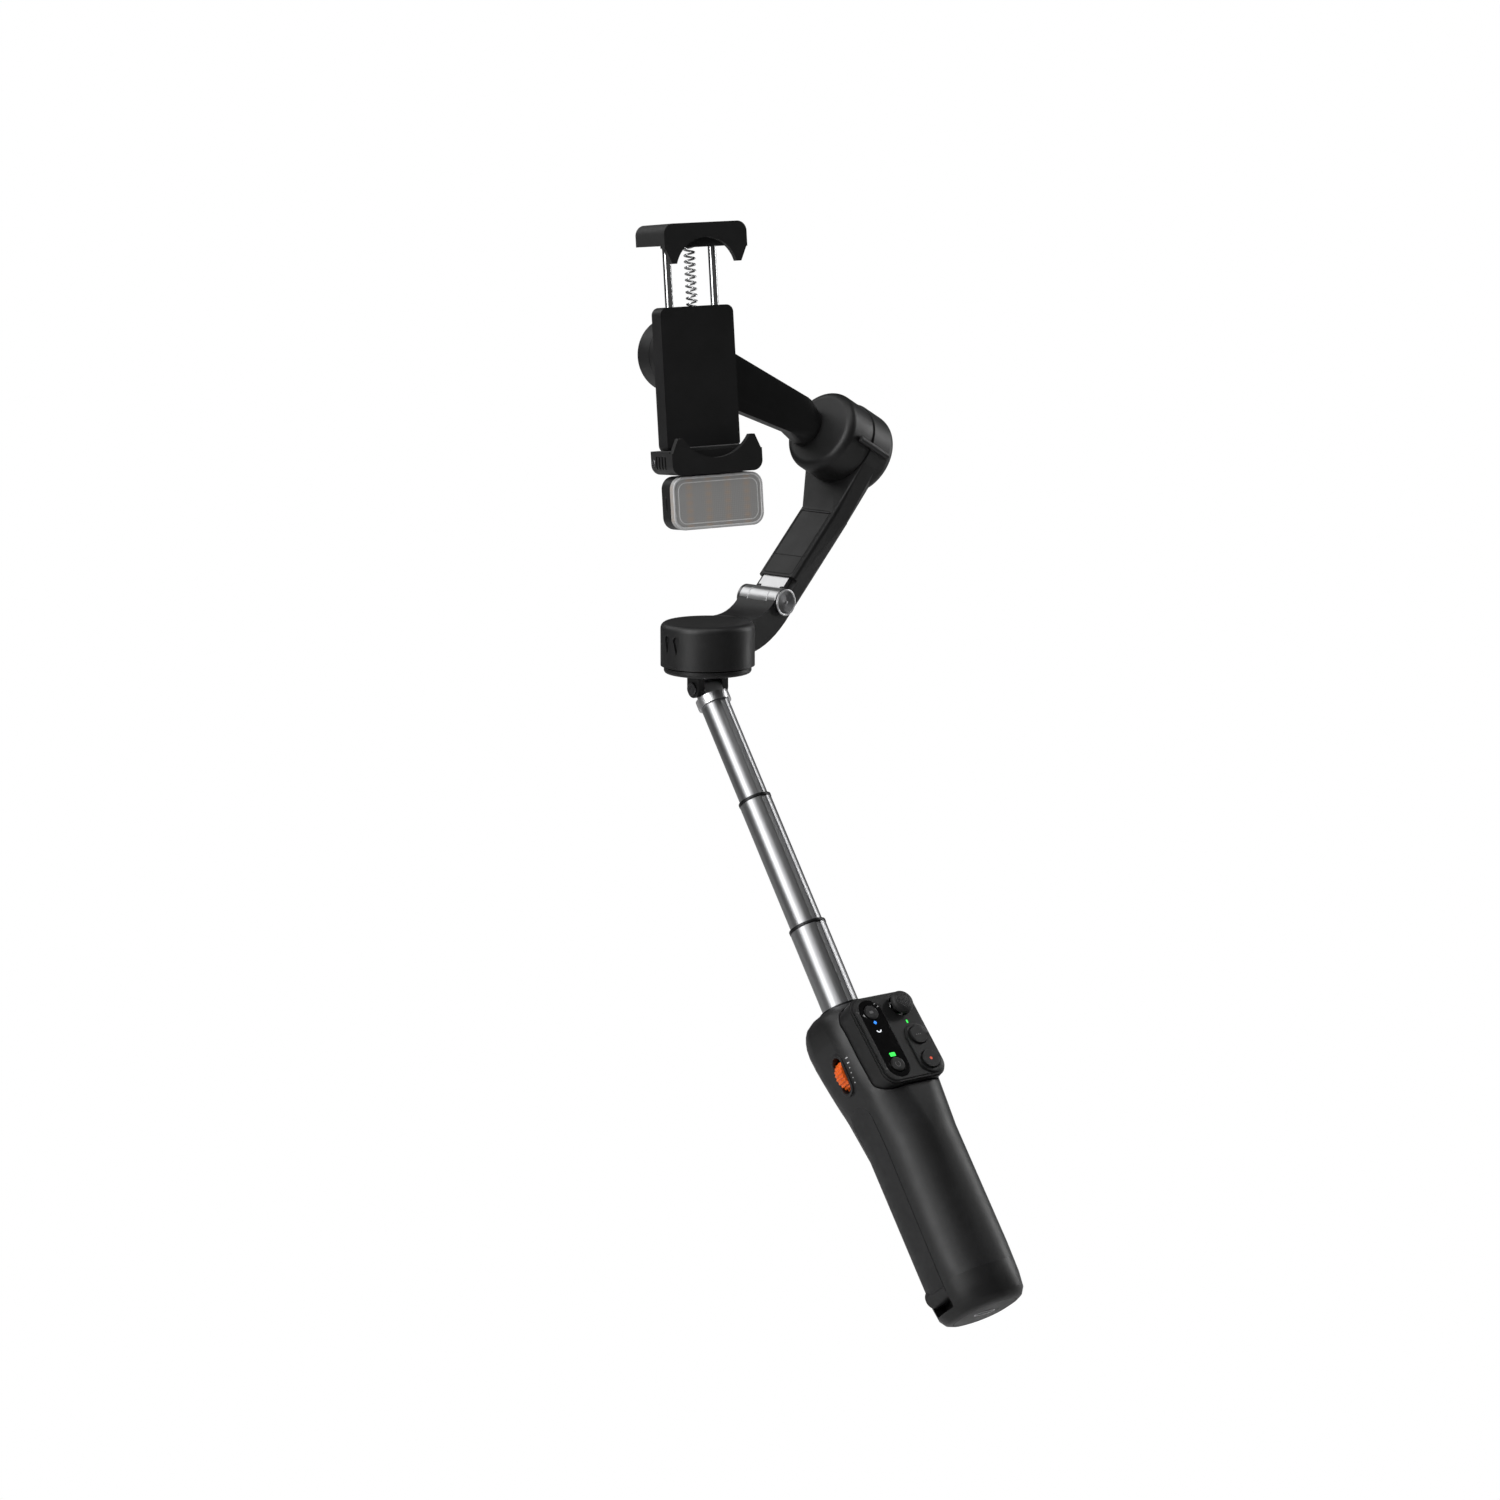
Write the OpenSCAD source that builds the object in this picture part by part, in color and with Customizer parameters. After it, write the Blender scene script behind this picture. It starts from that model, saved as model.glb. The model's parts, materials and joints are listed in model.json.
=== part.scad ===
// Folding three-axis phone gimbal on a telescopic rod, with a lift-off
// remote, a fill light and three fold-out legs in the handle.
// The origin is on the rod's axis, in the middle of the hand grip; +Z is up,
// +X is the user's right and -Y points back to the user.

/* [Pose] */
// Lean of the handle away from the user, from upright
handle_lean = 36; // [30:1:40]
// Direction of the folding arm, turned from +X towards +Y
arm_azimuth = 7; // [5:0.5:9]
// Turn of the phone clamp about the upright axis
clamp_yaw = -11.4; // [-13:0.2:-10]
// Backward tilt of the phone clamp
clamp_tilt = 4.5; // [3:0.5:6]
// Sideways roll of the phone clamp
clamp_roll = -1.1; // [-2:0.1:0]

/* [Handle] */
// Height of the rod's neck pivot above the grip's middle, along the rod
pivot_h = 217.1; // [216:0.1:218]
// Wall of the handle shells
shell_wall = 2; // [1.6:0.1:2.2]
// Thickness of the rubber skin on the legs
grip_skin = 1.3; // [1:0.1:1.6]

/* [Rod] */
// Outer radius of the lower rod section
lower_r = 7.45; // [7.4:0.05:7.5]
// Outer radius of the middle rod section
middle_r = 6.6; // [6.5:0.05:6.6]
// Outer radius of the upper rod section
upper_r = 5.9; // [5.8:0.05:5.9]
// Radial running clearance of sliding and turning fits
run = 0.06; // [0.03:0.01:0.08]

/* [Head] */
// Height of the pan housing's top above the neck pivot
head_rise = 26.4; // [26:0.1:29]
// Outer radius of the pan housing
pan_r = 18.8; // [18.5:0.1:19]
// Height of the crossing point of the three motor axes above the pan housing
gimbal_h = 106; // [104:1:108]
// Angle of the tilt motor's axis above the horizontal
tilt_rise = 28; // [26:1:30]
// Outer radius of the tilt motor
tilt_r = 17; // [16.5:0.1:17.2]
// Width of the folding arm
arm_w = 20; // [19:0.5:20]

/* [Clamp] */
// Width of phone that the clamp holds as it stands
phone_w = 77.6; // [74:0.2:80]
// Width of the lower jaw
lower_jaw_w = 39.5; // [37:0.5:40]
// Width of the upper jaw
upper_jaw_w = 36; // [35:0.5:38]
// Width of the fill light
light_w = 39.5; // [39:0.5:42]

/* [Remote] */
// Width of the lift-off remote
remote_w = 31; // [30:0.5:31]
// Length of the lift-off remote
remote_l = 38; // [37:0.5:38]

/* [Hidden] */
$fn = 64;
e = 0.01;
gap = 0.3;          // air between pieces that pass each other

// handle outline: height, half width, front depth, back depth, corner radius
KEYS = [
  [73.0, 10.4, 10.2, 10.2,  9.6], [72.2, 13.2, 12.6, 11.2, 10.0],
  [70.0, 16.2, 15.4, 12.6, 11.0], [66.0, 17.9, 17.6, 13.6, 11.0],
  [60.0, 18.6, 19.2, 14.0, 11.0], [49.0, 18.5, 20.5, 12.3, 11.0],
  [36.0, 17.9, 24.0, 10.5, 12.0], [30.0, 17.4, 25.2, 10.0, 13.0],
  [13.0, 16.6, 26.2, 9.1, 15.0], [-36.0, 16.6, 27.2, 8.5, 15.0],
  [-48.0, 16.5, 27.0, 8.4, 15.0], [-53.5, 15.9, 26.4, 7.8, 14.5],
  [-56.0, 14.3, 24.8, 6.2, 13.0], [-57.0, 12.2, 22.7, 4.1, 11.0]
];
CURVED = [2, 6];    // first and last stretch with an extra slice on a smooth curve
function key(i) = KEYS[max(0, min(len(KEYS) - 1, i))];
function midway(i) = (9 * (key(i) + key(i + 1)) - key(i - 1) - key(i + 2)) / 16;
STATIONS = [for (i = [0:len(KEYS) - 1]) each
  i >= CURVED[0] && i <= CURVED[1] ? [key(i), midway(i)] : [key(i)]];
function slice_at(z) = [for (i = [0:len(STATIONS) - 1]) if (STATIONS[i][0] == z) i][0];
GRIP_FIRST = slice_at(36);  // slices between which the legs lie
GRIP_LAST = slice_at(-48);
cap_z = -43;        // seam between the shells and the base cap

// legs: pin height, distance of the pins from the axis, root radius
leg_pin_z = -45.3;
side_pin_x = 12.6;
rear_pin_y = 5.0;
side_root_r = 3.9;
rear_root_r = 3.4;
leg_pin_r = 1.2;
side_leg_top = 32;
rear_leg_top = 7;
side_leg_y = [-12.5, 0.5];
rear_leg_half = 5.8;
side_leg_in = 11.9; // inner face of a side leg
rear_leg_in = 4.4;

// zoom dial
dial_z = 45.5;
dial_r = 6.4;
dial_x = -13.8;
dial_y = -7.2;
dial_t = 4.6;

// rod sections: bottom and top of each, along the rod
LOWER_Z = [44, 109];
MIDDLE_Z = [100, 165];
UPPER_Z = [145, 208.9];
ring_h = 1.4;
tube_wall = 0.64;
groove_w = 2.4;
groove_d = 0.38;
guide_r = 8.3;
GUIDE_Z = [11, 74.2];
collar_r = 6.9;
collar_h = 3.6;

// neck
ear_x = [4.6, 7.5];
ear_r = 3.7;
neck_pin_r = 1.6;
tongue_x = 4.4;
tongue_r = 3.4;
lip_r = 17.5;
lip_z = [-20.4, -18];

// pan motor
pan_depth = 17.4;
pan_wall = 2.3;
drop_r = 1.7;
shaft_r = 3;
bearing_r = 5.5;
hub_r = 6.6;

// fold hinge, in the plane of the arm
hinge_x = 33.3;
hinge_z = 5.3;
arm_rise = 45.2;
barrel_r = 5.4;
barrel_len = 20;
mid_len = 10.6;
fold_pin_r = 2;
arm_t = [-7.2, 2.7]; // outer and inner faces of the arm
arm_end = 46.5;

// tilt motor, measured along its axis from the crossing point
tilt_front = 72.2;
tilt_seam = 87;
tilt_back = 102.4;
tilt_shaft_r = 2.5;

// clamp, seen from the user: x right, z up, y away
clamp_mid_z = 3;    // centre of the phone above the roll axis
clamp_shift = -1.2;  // sideways place of the clamp
screen_y = -4;      // plane of the phone's glass
block_y = [4.5, 12.5];
block_z = [-38, 19];
block_w = 32;
block_step = 0.6;
jaw_round = 4.1;
rod_x = 10;
rod_r = 1.6;
lower_seat = clamp_mid_z - phone_w / 2;
upper_seat = clamp_mid_z + phone_w / 2;
pad_t = 1.2;
lip_t = 2.7;        // thickness of the claws in front of the glass
light_top = -46.9;
light_h = 21;
light_y = [-5.6, 4.4];

// remote: frame at the middle of its front face
remote_t = 8.8;
remote_slant = 7;
remote_y = -24.9;
remote_z = 52.7;
remote_off = -1.5;
remote_wall = 1.5;
window_x = -7;
window_y = [-13, 10.2];
window_r = 5.4;
small_button_r = 3;
big_button_r = 3.7;
big_x = 8.6;
mode_y = -3;
record_y = -13.8;
plinth_r = 5.3;
plinth_h = 0.5;
stick_x = 7.7;
stick_y = 11.1;
stick_pivot = -3.2;

// ---------- frames ----------
drum_top = [0, pivot_h * sin(handle_lean), pivot_h * cos(handle_lean) + head_rise];

module in_handle() rotate([-handle_lean, 0, 0]) children();
module at_neck() translate(drum_top - [0, 0, head_rise]) children();
module on_pan() translate(drum_top) children();
module in_pan() on_pan() rotate([0, 0, arm_azimuth]) children();
module in_arm() in_pan() translate([hinge_x, 0, hinge_z]) rotate([0, -arm_rise, 0]) children();
module in_tilt() in_pan() translate([0, 0, gimbal_h]) rotate([0, tilt_rise - 90, 0]) children();
module in_clamp()
  translate(drum_top + [0, 0, gimbal_h]) rotate([0, 0, clamp_yaw]) rotate([-clamp_tilt, 0, 0])
    children();
module in_jaws()
  in_clamp() rotate([0, clamp_roll, 0]) translate([clamp_shift, 0, 0]) children();
module in_remote()
  in_handle() translate([0, remote_y, remote_z]) rotate([90 - remote_slant, 0, 0]) children();

// ---------- helpers ----------
module bar(r, z0, z1) translate([0, 0, z0]) cylinder(r = r, h = z1 - z0);
module pipe(ro, ri, z0, z1)
  difference() { bar(ro, z0, z1); bar(ri, z0 - 1, z1 + 1); }
module across_x(r, x0, x1) translate([x0, 0, 0]) rotate([0, 90, 0]) cylinder(r = r, h = x1 - x0);
module across_y(r, y0, y1) translate([0, y0, 0]) rotate([-90, 0, 0]) cylinder(r = r, h = y1 - y0);
module box(x, y, z) translate([x[0], y[0], z[0]]) cube([x[1] - x[0], y[1] - y[0], z[1] - z[0]]);
// flat rounded rectangle about the origin
module rounded(w, l, r) {
  square([w - 2 * r, l], center = true);
  square([w, l - 2 * r], center = true);
  for (x = [-1, 1], y = [-1, 1]) translate([x * (w / 2 - r), y * (l / 2 - r)]) circle(r = r);
}
// flat slot with round ends, from one end's centre to the other's, along y
module slot(r, y0, y1) {
  translate([-r, y0]) square([2 * r, y1 - y0]);
  for (y = [y0, y1]) translate([0, y]) circle(r = r);
}
// extrudes a flat x-z outline along y
module along_y(y0, y1) translate([0, y1, 0]) rotate([90, 0, 0]) linear_extrude(y1 - y0) children();
// drum on the z axis with its upper edge rounded
module soft_drum(r, z0, z1, edge)
  rotate_extrude() {
    translate([0, z0]) square([r, z1 - z0 - edge]);
    translate([0, z0]) square([r - edge, z1 - z0]);
    intersection() {
      translate([r - edge, z1 - edge]) circle(r = edge);
      translate([0, z1 - edge - e]) square([r, edge + e]);
    }
  }

// points round one slice of the handle, pulled in by inset
corner_steps = 8;
function ring(s, inset) = let (
    w = s[1] - inset, f = s[2] - inset, b = s[3] - inset, r = max(s[4] - inset, 1)
  ) [for (q = [0:3], k = [0:corner_steps]) let (
    a = 90 * (q + k / corner_steps),
    cx = (q == 0 || q == 3) ? w - r : r - w,
    cy = q < 2 ? b - r : r - f
  ) [cx + r * cos(a), cy + r * sin(a), s[0]]];
ring_n = 4 * (corner_steps + 1);
module handle_form(inset, first = 0, last = len(STATIONS) - 1) {
  n = last - first;
  polyhedron(
    points = [for (i = [last:-1:first]) each ring(STATIONS[i], inset)],
    faces = concat(
      [[for (k = [0:ring_n - 1]) k]],
      [[for (k = [ring_n - 1:-1:0]) n * ring_n + k]],
      [for (i = [0:n - 1], k = [0:ring_n - 1]) each let (
        a = i * ring_n + k, b = i * ring_n + (k + 1) % ring_n
      ) [[a, a + ring_n, b], [b, a + ring_n, b + ring_n]]]
    ), convexity = 4);
}

// space of one side leg on the left, grown by g
module side_leg_zone(g = 0) {
  y0 = side_leg_y[0] - g;
  y1 = side_leg_y[1] + g;
  round_r = (y1 - y0) / 2;
  translate([-30, 0, 0]) {
    box([0, 30 - side_leg_in + g], [y0, y1], [leg_pin_z, side_leg_top - round_r]);
    translate([0, (y0 + y1) / 2, side_leg_top - round_r]) across_x(round_r, 0, 30 - side_leg_in + g);
  }
}
module rear_leg_zone(g = 0) {
  round_r = rear_leg_half + g;
  box([-round_r, round_r], [rear_leg_in - g, 30], [leg_pin_z, rear_leg_top - rear_leg_half]);
  translate([0, 0, rear_leg_top - rear_leg_half]) across_y(round_r, rear_leg_in - g, 30);
}
module side_pin_place() translate([-side_pin_x, 0, leg_pin_z]) children();
module rear_pin_place() translate([0, rear_pin_y, leg_pin_z]) children();
// room that the three leg roots turn in
module root_room() {
  for (m = [0, 1]) mirror([m, 0, 0]) side_pin_place() {
    across_y(side_root_r + gap, side_leg_y[0] - gap, side_leg_y[1] + gap);
    box([-10, side_root_r + gap], [side_leg_y[0] - gap, side_leg_y[1] + gap], [-7.5, 0]);
    box([-10, 0], [side_leg_y[0] - gap, side_leg_y[1] + gap], [0, 12]);
  }
  rear_pin_place() {
    across_x(rear_root_r + gap, -rear_leg_half - gap, rear_leg_half + gap);
    box([-rear_leg_half - gap, rear_leg_half + gap], [-rear_root_r - gap, 10], [-7.5, 0]);
    box([-rear_leg_half - gap, rear_leg_half + gap], [0, 10], [0, 12]);
  }
}
module leg_pin_set(r) {
  for (m = [0, 1]) mirror([m, 0, 0]) side_pin_place()
    across_y(r, side_leg_y[0] - 1.8, side_leg_y[1] + 1.8);
  rear_pin_place() across_x(r, -rear_leg_half - 1.8, rear_leg_half + 1.8);
}

// ---------- handle ----------
dock_w = remote_w + 1;
dock_l = remote_l + 1;
module dock_cut(grow = 0, deep = 0)
  in_remote_local() translate([0, remote_off, -remote_t - 0.4 - deep])
    linear_extrude(40) rounded(dock_w + 2 * grow, dock_l + 2 * grow, 6.5 + grow);
module in_remote_local()
  translate([0, remote_y, remote_z]) rotate([90 - remote_slant, 0, 0]) children();
module dial_slot(g = 0)
  translate([dial_x - 12, dial_y, dial_z]) rotate([0, 90, 0]) linear_extrude(13)
    rotate(90) slot(dial_t / 2 + gap + g, -4.8, 4.8);

module handle_skin() {
  difference() {
    union() {
      difference() { handle_form(0); handle_form(shell_wall, 2, len(STATIONS) - 3); }
      // floor and walls of the dock
      intersection() { handle_form(0.5); dock_cut(1.4, 1.2); }
      intersection() { handle_form(0.5); dial_cheeks(); }
      // rim round the dial's slot
      translate([-18.9, dial_y, dial_z]) rotate([0, 90, 0]) linear_extrude(3)
        rotate(90) slot(dial_t / 2 + gap + 1.1, -4.8, 4.8);
      // floors behind the legs
      intersection() {
        handle_form(0.5, GRIP_FIRST, GRIP_LAST);
        union() {
          for (m = [0, 1]) mirror([m, 0, 0]) side_leg_zone(1.2);
          rear_leg_zone(1.2);
        }
      }
    }
    dock_cut();
    for (m = [0, 1]) mirror([m, 0, 0]) side_leg_zone(gap);
    rear_leg_zone(gap);
    bar(guide_r + 0.05, 10, 90);
    dial_slot();
    root_room();
    box([-40, 40], [-40, 40], [-60, cap_z]);
    translate([dial_x, dial_y, dial_z]) across_y(dial_r + 0.6, -dial_t / 2 - gap, dial_t / 2 + gap);
    // contacts pass the dock floor
    contact_places() bar(0.8, -20, 4);
    translate([dial_x, dial_y, dial_z]) across_y(1.2, -6, 6);
  }
}
// cheeks that carry the dial's axle
module dial_cheeks() for (y = [[-3.8, -2.7], [2.7, 3.8]])
  box([dial_x - 5.5, dial_x + 2.4], [dial_y + y[0], dial_y + y[1]], [dial_z - 4, dial_z + 4]);
module contact_places() in_remote_local() for (i = [-1.5:1:1.5])
  translate([i * 3, remote_off - 12, -remote_t - 0.4]) children();
rear_split = 7;

module handle_front_shell() color("#1b1c1e") in_handle()
  difference() { handle_skin(); box([-40, 40], [rear_split, 40], [-60, 90]); }
module handle_rear_shell() color("#1b1c1e") in_handle()
  intersection() { handle_skin(); box([-40, 40], [rear_split, 40], [-60, 90]); }

module base_cap() color("#202123") in_handle() difference() {
  intersection() {
    handle_form(0, GRIP_LAST - 1);
    box([-40, 40], [-40, 40], [-60, cap_z]);
  }
  root_room();
  leg_pin_set(leg_pin_r);
  translate([0, -9, -58]) linear_extrude(9) rotate(90) slot(1.75, -3.1, 3.1);
}
module usb_socket() color("#b9bbbe") in_handle() translate([0, -9, 0]) difference() {
  translate([0, 0, -57.2]) linear_extrude(8.2) rotate(90) slot(1.7, -3.1, 3.1);
  translate([0, 0, -57.4]) linear_extrude(6.4) rotate(90) slot(1.3, -3.1, 3.1);
}
module battery_cell() color("#2f6fb3") in_handle() translate([0, -14.9, 0]) {
  bar(9, -40, 9);
  bar(2.6, 9, 10.2);
}
module main_board() color("#1d5c3a") in_handle() {
  box([-2, 13.5], [-10.9, -9.7], [34, 62]);
  box([2, 8], [-9.7, -8.9], [36, 42]);
  box([8.5, 12], [-9.7, -7.7], [44, 56]);
}
module guide_tube() color("#55585c") in_handle() {
  pipe(guide_r, lower_r + run, GUIDE_Z[0], GUIDE_Z[1]);
  pipe(guide_r + 0.9, guide_r - e, GUIDE_Z[1] - 1.1, GUIDE_Z[1]);
}
module dock_contacts() color("#c9a24a") in_handle() contact_places() bar(0.8, -1.2, 0.3);
module dial_axle() color("#9a9da1") in_handle()
  translate([dial_x, dial_y, dial_z]) across_y(1.2, -3.8, 3.8);
module leg_pins() color("#9a9da1") in_handle() leg_pin_set(leg_pin_r);

// ---------- legs ----------
module side_leg_shape() difference() {
  union() {
    intersection() { handle_form(grip_skin, GRIP_FIRST, GRIP_LAST); side_leg_zone(); }
    side_pin_place() across_y(side_root_r, side_leg_y[0], side_leg_y[1]);
  }
  side_pin_place() across_y(leg_pin_r + run, side_leg_y[0] - 1, side_leg_y[1] + 1);
}
module side_grip_shape() difference() {
  intersection() { handle_form(0, GRIP_FIRST, GRIP_LAST); side_leg_zone(); }
  handle_form(grip_skin, GRIP_FIRST, GRIP_LAST);
  side_pin_place() across_y(side_root_r, side_leg_y[0] - 1, side_leg_y[1] + 1);
  box([-40, 0], [-40, 40], [-60, leg_pin_z + 1]);
}
module left_leg() color("#17181a") in_handle() side_leg_shape();
module left_leg_grip() color("#26272a") in_handle() side_grip_shape();
module right_leg() color("#17181a") in_handle() mirror([1, 0, 0]) side_leg_shape();
module right_leg_grip() color("#26272a") in_handle() mirror([1, 0, 0]) side_grip_shape();
module rear_leg() color("#17181a") in_handle() difference() {
  union() {
    intersection() { handle_form(grip_skin, GRIP_FIRST, GRIP_LAST); rear_leg_zone(); }
    rear_pin_place() across_x(rear_root_r, -rear_leg_half, rear_leg_half);
  }
  rear_pin_place() across_x(leg_pin_r + run, -10, 10);
}
module rear_leg_grip() color("#26272a") in_handle() difference() {
  intersection() { handle_form(0, GRIP_FIRST, GRIP_LAST); rear_leg_zone(); }
  handle_form(grip_skin, GRIP_FIRST, GRIP_LAST);
  rear_pin_place() across_x(rear_root_r, -10, 10);
  box([-40, 40], [0, 40], [-60, leg_pin_z + 1]);
}

// ---------- zoom dial ----------
dial_ribs = 24;
module zoom_dial() color("#e8641b") in_handle() translate([dial_x, dial_y, dial_z]) difference() {
  across_y(dial_r, -dial_t / 2, dial_t / 2);
  across_y(1.2 + run, -10, 10);
  for (a = [0:360 / dial_ribs:359]) rotate([0, a, 0]) translate([dial_r + 0.25, 0, 0])
    across_y(0.62, -dial_t / 2 - 1, dial_t / 2 + 1, $fn = 16);
}

// ---------- rod ----------
module key_groove(r, z0, z1)
  box([-groove_w / 2, groove_w / 2], [-r - 1, -r + groove_d], [z0 - 1, z1 + 1]);
module rod_section(r, z) difference() {
  pipe(r, r - tube_wall, z[0], z[1]);
  key_groove(r, z[0], z[1]);
}
module end_ring(r, inner, z) pipe(r + 0.15, inner + run, z, z + ring_h);
module rod_lower() color("#8d8f93") in_handle() rod_section(lower_r, LOWER_Z);
module rod_lower_ring() color("#26272a") in_handle() end_ring(lower_r, middle_r, LOWER_Z[1]);
module rod_middle() color("#8d8f93") in_handle() rod_section(middle_r, MIDDLE_Z);
module rod_middle_ring() color("#26272a") in_handle() end_ring(middle_r, upper_r, MIDDLE_Z[1]);
module rod_upper() color("#8d8f93") in_handle() rod_section(upper_r, UPPER_Z);
module neck_knuckle() color("#b4b6ba") in_handle() difference() {
  union() {
    bar(upper_r - tube_wall - 0.02, UPPER_Z[1] - 8, UPPER_Z[1] + 1);
    bar(collar_r, UPPER_Z[1], UPPER_Z[1] + collar_h);
    box([-tongue_x, tongue_x], [-tongue_r, tongue_r], [UPPER_Z[1] + collar_h - 0.2, pivot_h]);
    translate([0, 0, pivot_h]) across_x(tongue_r, -tongue_x, tongue_x);
  }
  translate([0, 0, pivot_h]) across_x(neck_pin_r + run, -10, 10);
  bar(3, UPPER_Z[1] - 9, UPPER_Z[1] + 2);
}

// ---------- neck and pan motor ----------
module clevis() color("#191a1c") {
  at_neck() for (s = [-1, 1]) difference() {
    union() {
      across_x(ear_r, min(s * ear_x[0], s * ear_x[1]), max(s * ear_x[0], s * ear_x[1]));
      box([min(s * ear_x[0], s * ear_x[1]), max(s * ear_x[0], s * ear_x[1])],
          [-ear_r, ear_r], [0, head_rise + lip_z[0] + e]);
    }
    across_x(neck_pin_r, -20, 20);
  }
  on_pan() difference() {
    union() {
      mirror([0, 0, 1]) soft_drum(lip_r, -lip_z[1], -lip_z[0], 1.2);
      bar(hub_r, lip_z[1] - e, -6.5);
    }
    bar(shaft_r + 0.5, -19, 0);
    bar(bearing_r, -10.6, 0);
  }
}
module clevis_pin() color("#6d7074") at_neck() {
  across_x(neck_pin_r, -ear_x[1] - 0.2, ear_x[1] + 0.2);
  for (s = [-1, 1]) translate([s * (ear_x[1] + 0.45), 0, 0]) across_x(2.6, -0.45, 0.45);
}
stator_teeth = 12;
// wound stator between an inner and an outer radius
module stator(ri, ro, z0, z1) difference() {
  pipe(ro, ri, z0, z1);
  for (a = [0:360 / stator_teeth:359]) rotate(a)
    box([ri + 1.8, ro + 1], [-0.7, 0.7], [z0 - 1, z1 + 1]);
}
module pan_stator() color("#b06a35") on_pan() stator(hub_r, 13.2, -16, -8);
module bearing(ro, ri, z0, z1) pipe(ro, ri, z0, z1);
module pan_bearing() color("#a8abaf") on_pan() bearing(bearing_r, shaft_r + run, -10.6, -6.7);
module pan_magnets() color("#3c3f44") on_pan() pipe(pan_r - pan_wall, 14, -15.5, -8.5);

// neck of the pan housing that climbs to the fold hinge, as an x-z outline
function blend(a, b, c, n) =
  [for (i = [0:n]) let (t = i / n) a * pow(1 - t, 2) + b * 2 * t * (1 - t) + c * pow(t, 2)];
module bracket_outline() polygon(concat(
  blend([13, -0.02], [24, -0.02], [29.6, 8.6], 8),
  [[hinge_x, hinge_z], [38.2, 1.6]],
  blend([36.8, 0], [25.8, -11.8], [13, -13.6], 8)
));
module pan_housing() color("#1b1c1e") in_pan() difference() {
  union() {
    difference() {
      soft_drum(pan_r, -pan_depth, 0, 2.6);
      bar(pan_r - pan_wall, -pan_depth - 1, -2.4);
    }
    difference() {
      along_y(-arm_w / 2, arm_w / 2) bracket_outline();
      bar(pan_r - pan_wall + 0.05, -30, 5);
    }
    bar(shaft_r, -17, -2);
  }
  translate([hinge_x, 0, hinge_z]) {
    across_y(barrel_r, -20, 20);
    across_y(barrel_r + 0.4, -mid_len / 2 - gap, mid_len / 2 + gap);
  }
  // pair of drop-shaped dimples
  for (s = [-1, 1]) rotate(175 + s * 8.5) translate([pan_r - 1, 0, -8]) rotate([0, 90, 0])
    linear_extrude(3) { translate([-2, 0]) circle(r = drop_r); drop_tip(); }
}
module drop_tip() polygon([[-2, -drop_r], [-2, drop_r], [3.7, 0]]);
module fold_knuckles() color("#c4c6ca") in_pan() translate([hinge_x, 0, hinge_z])
  for (s = [-1, 1]) difference() {
    across_y(barrel_r, min(s * mid_len, s * barrel_len) / 2, max(s * mid_len, s * barrel_len) / 2);
    across_y(fold_pin_r, -20, 20);
  }
module fold_pin() color("#8f9296") in_pan() translate([hinge_x, 0, hinge_z]) {
  across_y(fold_pin_r, -barrel_len / 2, barrel_len / 2);
  for (s = [-1, 1]) translate([0, s * (barrel_len / 2 + 0.6), 0]) across_y(barrel_r, -0.6, 0.6);
}

// ---------- folding arm ----------
module arm_section(x0, x1, inset = 0) translate([x0, 0, (arm_t[0] + arm_t[1]) / 2])
  rotate([90, 0, 90]) linear_extrude(x1 - x0)
    rounded(arm_w - 2 * inset, arm_t[1] - arm_t[0] - 2 * inset, 1.8);
module fold_leaf() color("#c4c6ca") in_arm() difference() {
  union() {
    across_y(barrel_r, -mid_len / 2 + 0.05, mid_len / 2 - 0.05);
    box([0, 19], [-mid_len / 2 + 0.05, mid_len / 2 - 0.05], [0.1, 2]);
    box([barrel_r + 0.6, 19], [-7, 7], [0.1, 2]);
  }
  across_y(fold_pin_r + run, -20, 20);
}
module arm_shell() color("#1b1c1e") difference() {
  union() {
    in_arm() arm_section(1.5, arm_end);
    hull() {
      in_arm() arm_section(arm_end - 0.5, arm_end + 0.5, inset = 0.1, $fn = 32);
      in_tilt() mirror([0, 0, 1]) {
        translate([0, 0, tilt_seam + 0.1]) cylinder(r = tilt_r + 0.4, h = 7, $fn = 32);
        translate([0, 0, tilt_seam + 0.1])
          cylinder(r = tilt_r - 5, h = tilt_back - tilt_seam - 0.6, $fn = 32);
      }
    }
    in_tilt() mirror([0, 0, 1]) soft_drum(tilt_r + 0.6, tilt_seam, tilt_back, 5);
    // lock tab that reaches over the rotor
    in_tilt() mirror([0, 0, 1]) translate([0, -tilt_r - 0.7, tilt_front + 6.6])
      bar(1.3, 0, tilt_back - tilt_front - 12);
  }
  in_tilt() mirror([0, 0, 1]) {
    bar(tilt_r + 0.3, tilt_front - 10, tilt_seam);
    bar(tilt_r - 2.2, tilt_seam - 1, tilt_back - 2.6);
  }
  in_arm() {
    across_y(barrel_r + 0.3, -20, 20);
    box([-5, 10.8], [-20, 20], [0, 10]);
    box([5, 19.05], [-7.05, 7.05], [0, 2.05]);
    box([21, 44], [-8.5, 8.5], [1.4, 5]);
    box([23, 42], [-7.5, 7.5], [-5, 2]);
  }
}
module arm_cover() color("#202123") in_arm()
  box([21.1, 43.9], [-8.4, 8.4], [1.4, arm_t[1]]);
module tilt_stator() color("#b06a35") in_tilt() mirror([0, 0, 1]) {
  stator(5.2, 12.6, 78, 86.4);
  pipe(14.6, 4.5, tilt_back - 4.6, tilt_back - 2.6);
  pipe(5.2, 4.5, 78, tilt_back - 4.5);
}
module tilt_bearing() color("#a8abaf") in_tilt() mirror([0, 0, 1])
  bearing(4.5, tilt_shaft_r + run, 88, 92);
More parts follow.
